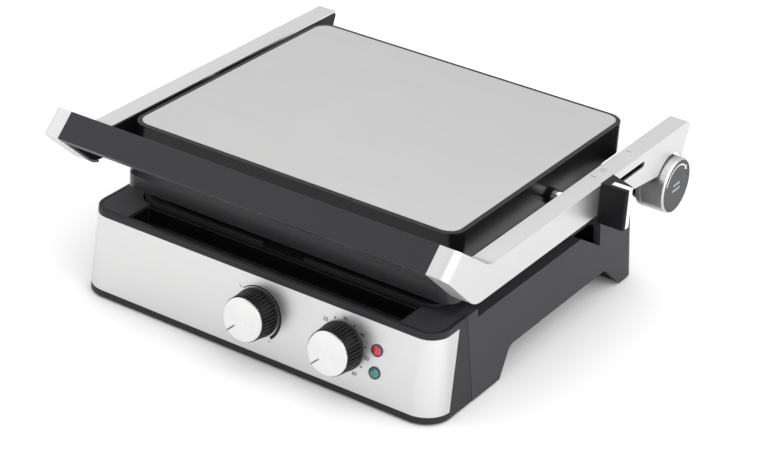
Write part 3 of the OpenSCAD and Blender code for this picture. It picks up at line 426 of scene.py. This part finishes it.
def soften(name, width):
    """Rounds the sharp edges of a CAD node, as moulding and pressing leave them, and evens its shading."""
    obj = NODES[name]
    weld = obj.modifiers.new("weld", "WELD")
    weld.merge_threshold = WELD_GAP * MM
    if width:
        edge = obj.modifiers.new("rounded_edges", "BEVEL")
        edge.width = width * MM
        edge.segments = 2
        edge.limit_method = "ANGLE"
        edge.angle_limit = math.radians(EDGE_ANGLE)
    crease = obj.modifiers.new("creases", "EDGE_SPLIT")
    crease.split_angle = math.radians(CREASE_ANGLE)
    crease.use_edge_sharp = False
    even = obj.modifiers.new("even_shading", "WEIGHTED_NORMAL")
    even.weight = 100
    even.mode = "FACE_AREA"
    for face in obj.data.polygons:
        face.use_smooth = True


# Radius in millimetres of the broken edges of each piece; nought leaves an edge crisp
EDGES = {
    "lid_shell": 1.3, "lid_cover": 0.35, "lid_frame": 1.0, "base_shell": 0.8, "front_fascia": 0.8,
    "front_panel": 0.2, "handle_bar": 0.9, "left_arm": 0.7, "right_arm": 0.7, "slider_grip": 0.6,
    "slider_insert": 0.3, "drip_tray": 0.4, "release_barrel": 0.4, "hinge_cap_left": 0.4,
    "release_cap": 0.15, "left_arm_liner": 0.5, "right_arm_liner": 0.5, "bottom_cover": 0.4,
    "hinge_bracket_left": 0.5, "hinge_bracket_right": 0.5, "lower_plate": 0.7, "upper_plate": 0.7,
    "cord_gland": 0.4, "thermostat_knob": 0.12, "timer_knob": 0.12, "thermostat_knob_cap": 0.15,
    "timer_knob_cap": 0.15, "foot_front_left": 0.4, "foot_front_right": 0.4, "foot_rear_left": 0.4,
    "foot_rear_right": 0.4, "power_lens": 0, "ready_lens": 0, "lamp_bezels": 0.1, "lid_pivot_left": 0.2,
    "lid_pivot_right": 0.2, "slider_key": 0.15, "hinge_pin_left": 0.2, "hinge_pin_right": 0.2,
    "lower_heater": 0, "upper_heater": 0, "lower_reflector": 0.15, "upper_reflector": 0.15,
}
for node_name, node_width in EDGES.items():
    soften(node_name, node_width)


# ---------------------------------------------------------------- printed marks

# Thickness of a printed mark, and how far a mark on a flat face stands off it
PRINT_T = 0.05 * MM
PRINT_LIFT = 0.01 * MM


def finish_piece(name, shape, world, material, body):
    """Turns a mesh built in its own frame into a piece that rides a body."""
    mesh = shape
    if isinstance(shape, bmesh.types.BMesh):
        mesh = bpy.data.meshes.new(name)
        bmesh.ops.recalc_face_normals(shape, faces=shape.faces)
        shape.to_mesh(mesh)
        shape.free()
    mesh.materials.clear()
    mesh.materials.append(MAT[material])
    obj = bpy.data.objects.new(name, mesh)
    bpy.context.scene.collection.objects.link(obj)
    obj.matrix_world = world
    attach(obj, body)
    return obj


def plane_frame(origin, across, out):
    """Frame whose X runs across a face, Y up it and Z out of it."""
    x, z = Vector(across).normalized(), Vector(out).normalized()
    y = z.cross(x)
    return Matrix.Translation(origin) @ Matrix((x, y, z)).transposed().to_4x4()


def prism(bm, outline, thick=PRINT_T):
    """Thin flat shape with the given outline, from its face upwards."""
    low = [bm.verts.new((x, y, -thick * 0.2)) for x, y in outline]
    high = [bm.verts.new((x, y, thick)) for x, y in outline]
    bm.faces.new(high)
    bm.faces.new(list(reversed(low)))
    for i in range(len(outline)):
        j = (i + 1) % len(outline)
        bm.faces.new((low[i], low[j], high[j], high[i]))


def ring_band(bm, r0, r1, start, end, grow=0.0, steps=72):
    """Curved band between two clock angles; grow widens its outer edge along the way."""
    inner, outer = [], []
    for i in range(steps + 1):
        t = i / steps
        a = math.radians(start + (end - start) * t)
        inner.append((r0 * math.sin(a), r0 * math.cos(a)))
        outer.append(((r1 + grow * t) * math.sin(a), (r1 + grow * t) * math.cos(a)))
    prism(bm, inner + outer[::-1])


def dot(bm, x, y, r, steps=20):
    """Round spot."""
    prism(bm, [(x + r * math.cos(math.tau * i / steps), y + r * math.sin(math.tau * i / steps))
               for i in range(steps)])


def bar(bm, x, y, length, width, turn):
    """Straight stroke centred on a point; turn is its clock angle."""
    a = math.radians(turn)
    u, v = Vector((math.sin(a), math.cos(a))), Vector((math.cos(a), -math.sin(a)))
    c = Vector((x, y))
    prism(bm, [tuple(c + u * sx * length / 2 + v * sy * width / 2)
               for sx, sy in ((-1, -1), (1, -1), (1, 1), (-1, 1))])


def clock(r, angle):
    """Point at a radius and a clock angle."""
    a = math.radians(angle)
    return r * math.sin(a), r * math.cos(a)


def numeral_mesh(text, size):
    """Flat mesh of a number, centred on its own middle."""
    curve = bpy.data.curves.new("numeral", "FONT")
    curve.body = text
    curve.size = size
    curve.align_x = "CENTER"
    curve.align_y = "CENTER"
    curve.extrude = PRINT_T / 2
    curve.offset = size * 0.008
    temp = bpy.data.objects.new("numeral", curve)
    bpy.context.scene.collection.objects.link(temp)
    graph = bpy.context.evaluated_depsgraph_get()
    mesh = bpy.data.meshes.new_from_object(temp.evaluated_get(graph))
    bpy.data.objects.remove(temp)
    bpy.data.curves.remove(curve)
    return mesh


def dial_frame(joint):
    """Frame on the front panel at a dial's axis."""
    out = -Vector(JOINTS[joint]["axis"])
    return plane_frame(JOINTS[joint]["pos_m"], (1, 0, 0), out)


# Timer scale: radius of its dots, how far out the numbers stand, and clock angles of the numbers
SCALE_R = 22.6 * MM
NUMBER_OUT = 0.9 * MM
NUMBER_SIZE = 4.6 * MM
SCALE_STEP = 46.7
SCALE_START = -44.0
SCALE_DOT_R = 0.8 * MM
# Thermostat scale: inner and outer radius at its start, growth, clock angles of band and end marks
BAND_IN, BAND_OUT, BAND_SWELL = 21.3 * MM, 22.1 * MM, 1.9 * MM
BAND_FROM, BAND_TO = -42, 140
END_MARK_R = 24.4 * MM
END_MARK_ANGLES = (-46, 146)
# Pointer line in a dial's face: clock angle, gap to the rim, length, width and depth below the face
POINTER_ANGLE = -135
POINTER_INSET, POINTER_LENGTH, POINTER_WIDTH = 5 * MM, 7.6 * MM, 0.8 * MM
POINTER_SUNK = 0.4 * MM


def timer_scale():
    """Numbers of minutes round the timer dial, with a dot between each two."""
    home = dial_frame("timer_turn")
    for i, text in enumerate(("20", "30", "40", "50", "60")):
        x, y = clock(SCALE_R + NUMBER_OUT, SCALE_START + SCALE_STEP * i)
        finish_piece("timer_number_" + text, numeral_mesh(text, NUMBER_SIZE),
                     home @ Matrix.Translation((x, y, PRINT_T / 2)), "ink", "base")
    bm = bmesh.new()
    for i in range(4):
        dot(bm, *clock(SCALE_R, SCALE_START + SCALE_STEP * (i + 0.5)), SCALE_DOT_R)
    finish_piece("timer_dots", bm, home, "ink", "base")


def thermostat_scale():
    """Band that swells clockwise round the thermostat dial, with a small mark at each end."""
    home = dial_frame("thermostat_turn")
    bm = bmesh.new()
    ring_band(bm, BAND_IN, BAND_OUT, BAND_FROM, BAND_TO, BAND_SWELL)
    finish_piece("thermostat_band", bm, home, "ink", "base")
    bm = bmesh.new()
    for angle in END_MARK_ANGLES:
        x, y = clock(END_MARK_R, angle)
        bar(bm, x, y, 2.4 * MM, 0.45 * MM, angle)
        bar(bm, x + 1.3 * MM, y, 1.6 * MM, 0.4 * MM, angle)
    finish_piece("thermostat_end_marks", bm, home, "grey_ink", "base")


def pointer_lines():
    """Dark line laid in the groove of each dial's face."""
    for joint, body, cap in (("timer_turn", "timer_dial", "timer_knob_cap"),
                             ("thermostat_turn", "thermostat_dial", "thermostat_knob_cap")):
        home = dial_frame(joint)
        low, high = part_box(cap)
        radius = (high[0] - low[0]) / 2
        out = -Vector(JOINTS[joint]["axis"])
        front = Vector((high[0] - radius, low[1], low[2] + radius))
        face = (front - Vector(JOINTS[joint]["pos_m"])).dot(out)
        bm = bmesh.new()
        x, y = clock(radius - POINTER_INSET, POINTER_ANGLE)
        bar(bm, x, y, POINTER_LENGTH, POINTER_WIDTH, POINTER_ANGLE)
        finish_piece(body + "_pointer", bm, home @ Matrix.Translation((0, 0, face - POINTER_SUNK)),
                     "ink", body)


# Distance behind the arm's middle from which its top is flat, and of the strokes from its inner edge
ARM_FLAT_FROM = 20 * MM
ARM_MARK_IN = 5.5 * MM
# Strokes of the small sign between the arm's two long marks: sideways steps and distances behind the slider
SIGN_STEPS = (-1.6, 0.0, 1.6)
SIGN_NEAR, SIGN_FAR = 14 * MM, 17 * MM


def arm_top_height():
    """Height of the right arm's flat top: its highest point behind the middle."""
    mesh, world = NODES["right_arm"].data, NODES["right_arm"].matrix_world
    low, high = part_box("right_arm")
    flat_from = (low[1] + high[1]) / 2 + ARM_FLAT_FROM
    return max((world @ v.co).z for v in mesh.vertices if (world @ v.co).y > flat_from)


def arm_marks():
    """Short strokes on the right arm beside the slider's two end stops."""
    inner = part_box("right_arm")[0][0] + ARM_MARK_IN
    low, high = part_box("slider_grip")
    middle = (low[1] + high[1]) / 2
    travel = JOINTS["height_slide"]["range_m"][1]
    home = plane_frame((0, 0, arm_top_height() + PRINT_LIFT), (1, 0, 0), (0, 0, 1))
    bm = bmesh.new()
    for y in (middle, middle + travel):
        bar(bm, inner, y, 5.2 * MM, 0.9 * MM, 90)
    for i, step in enumerate(SIGN_STEPS):
        bar(bm, inner + step * MM, middle + SIGN_NEAR, 2.6 * MM, 0.5 * MM, 0)
        bar(bm, inner + step * MM, middle + SIGN_FAR + i * 0.3 * MM, 1.8 * MM, 0.5 * MM, 90)
    finish_piece("arm_marks", bm, home, "grey_ink", "handle_frame")


# Release arrow: gap to the cap's rim and half width, clock angles of its band and of its head,
# and half width of the head
ARROW_INSET, ARROW_HALF = 4.2 * MM, 0.6 * MM
ARROW_FROM, ARROW_TO = -75, 48
HEAD_FROM, HEAD_TIP = 46, 60
HEAD_HALF = 2.0 * MM
# Rows of strokes on the release cap: height and width of each stroke, then their gap, in millimetres
CAP_ROWS = ((1.6, (2.2, 1.4, 2.2, 2.2)), (-3.4, (1.4, 2.2, 2.2, 1.4, 2.2)))
CAP_GAP = 0.9


def release_marks():
    """Pale curved arrow and two rows of strokes on the release cap."""
    low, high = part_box("release_cap")
    radius = (high[2] - low[2]) / 2
    centre = (high[0] + PRINT_LIFT, (low[1] + high[1]) / 2, (low[2] + high[2]) / 2)
    home = plane_frame(centre, (0, 1, 0), (1, 0, 0))
    bm = bmesh.new()
    r = radius - ARROW_INSET
    ring_band(bm, r - ARROW_HALF, r + ARROW_HALF, ARROW_FROM, ARROW_TO)
    prism(bm, [clock(r - HEAD_HALF, HEAD_FROM), clock(r + HEAD_HALF, HEAD_FROM), clock(r, HEAD_TIP)])
    for row, widths in CAP_ROWS:
        x = -(sum(widths) + CAP_GAP * (len(widths) - 1)) / 2
        for w in widths:
            bar(bm, (x + w / 2) * MM, row * MM, 2.0 * MM, w * MM * 0.55, 0)
            x += w + CAP_GAP
    finish_piece("release_marks", bm, home, "pale_ink", "release_knob")


timer_scale()
thermostat_scale()
pointer_lines()
arm_marks()
release_marks()


# ---------------------------------------------------------------- stage

FLOOR_HALF = 8.0
WORLD_STRENGTH = 0.80
# Softboxes: place and aim in metres, width and height in metres, watts
SOFTBOXES = {
    "overhead_softbox": ((0.0, 0.5, 2.3), (0, 0, 0), (3.6, 2.8), 34),
    "left_softbox": ((-2.2, -0.9, 1.4), (0, 0, 0.1), (2.4, 2.4), 12),
    "front_softbox": ((0.9, -2.6, 1.2), (0, 0, 0.05), (3.0, 1.8), 12),
    "right_softbox": ((2.3, -0.5, 1.2), (0, 0, 0.08), (2.2, 2.2), 36),
}


def area_light(name, place_at, aim, size, power):
    """Rectangular lamp that faces a point."""
    data = bpy.data.lights.new(name, "AREA")
    data.shape = "RECTANGLE"
    data.size, data.size_y = size
    data.energy = power
    obj = bpy.data.objects.new(name, data)
    bpy.context.scene.collection.objects.link(obj)
    obj.location = place_at
    obj.rotation_euler = (Vector(aim) - Vector(place_at)).to_track_quat("-Z", "Y").to_euler()


def build_stage():
    """Pale floor, even white surroundings and four softboxes."""
    mesh = bpy.data.meshes.new("floor")
    bm = bmesh.new()
    bmesh.ops.create_grid(bm, x_segments=1, y_segments=1, size=FLOOR_HALF)
    bm.to_mesh(mesh)
    bm.free()
    floor = bpy.data.objects.new("floor", mesh)
    bpy.context.scene.collection.objects.link(floor)
    m, b, s = new_material("studio_floor")
    s.inputs["Base Color"].default_value = rgb(0.9)
    b.feed(s.inputs["Roughness"], b.ramp(b.noise(place(b), 6.0), 0.2, 0.8, 0.7, 0.8))
    mesh.materials.append(m)
    world = bpy.data.worlds.new("studio")
    bpy.context.scene.world = world
    world.use_nodes = True
    world.node_tree.nodes["Background"].inputs[0].default_value = rgb(1.0)
    world.node_tree.nodes["Background"].inputs[1].default_value = WORLD_STRENGTH
    for name, settings in SOFTBOXES.items():
        area_light(name, *settings)
    bpy.context.scene.view_settings.view_transform = "Standard"


build_stage()
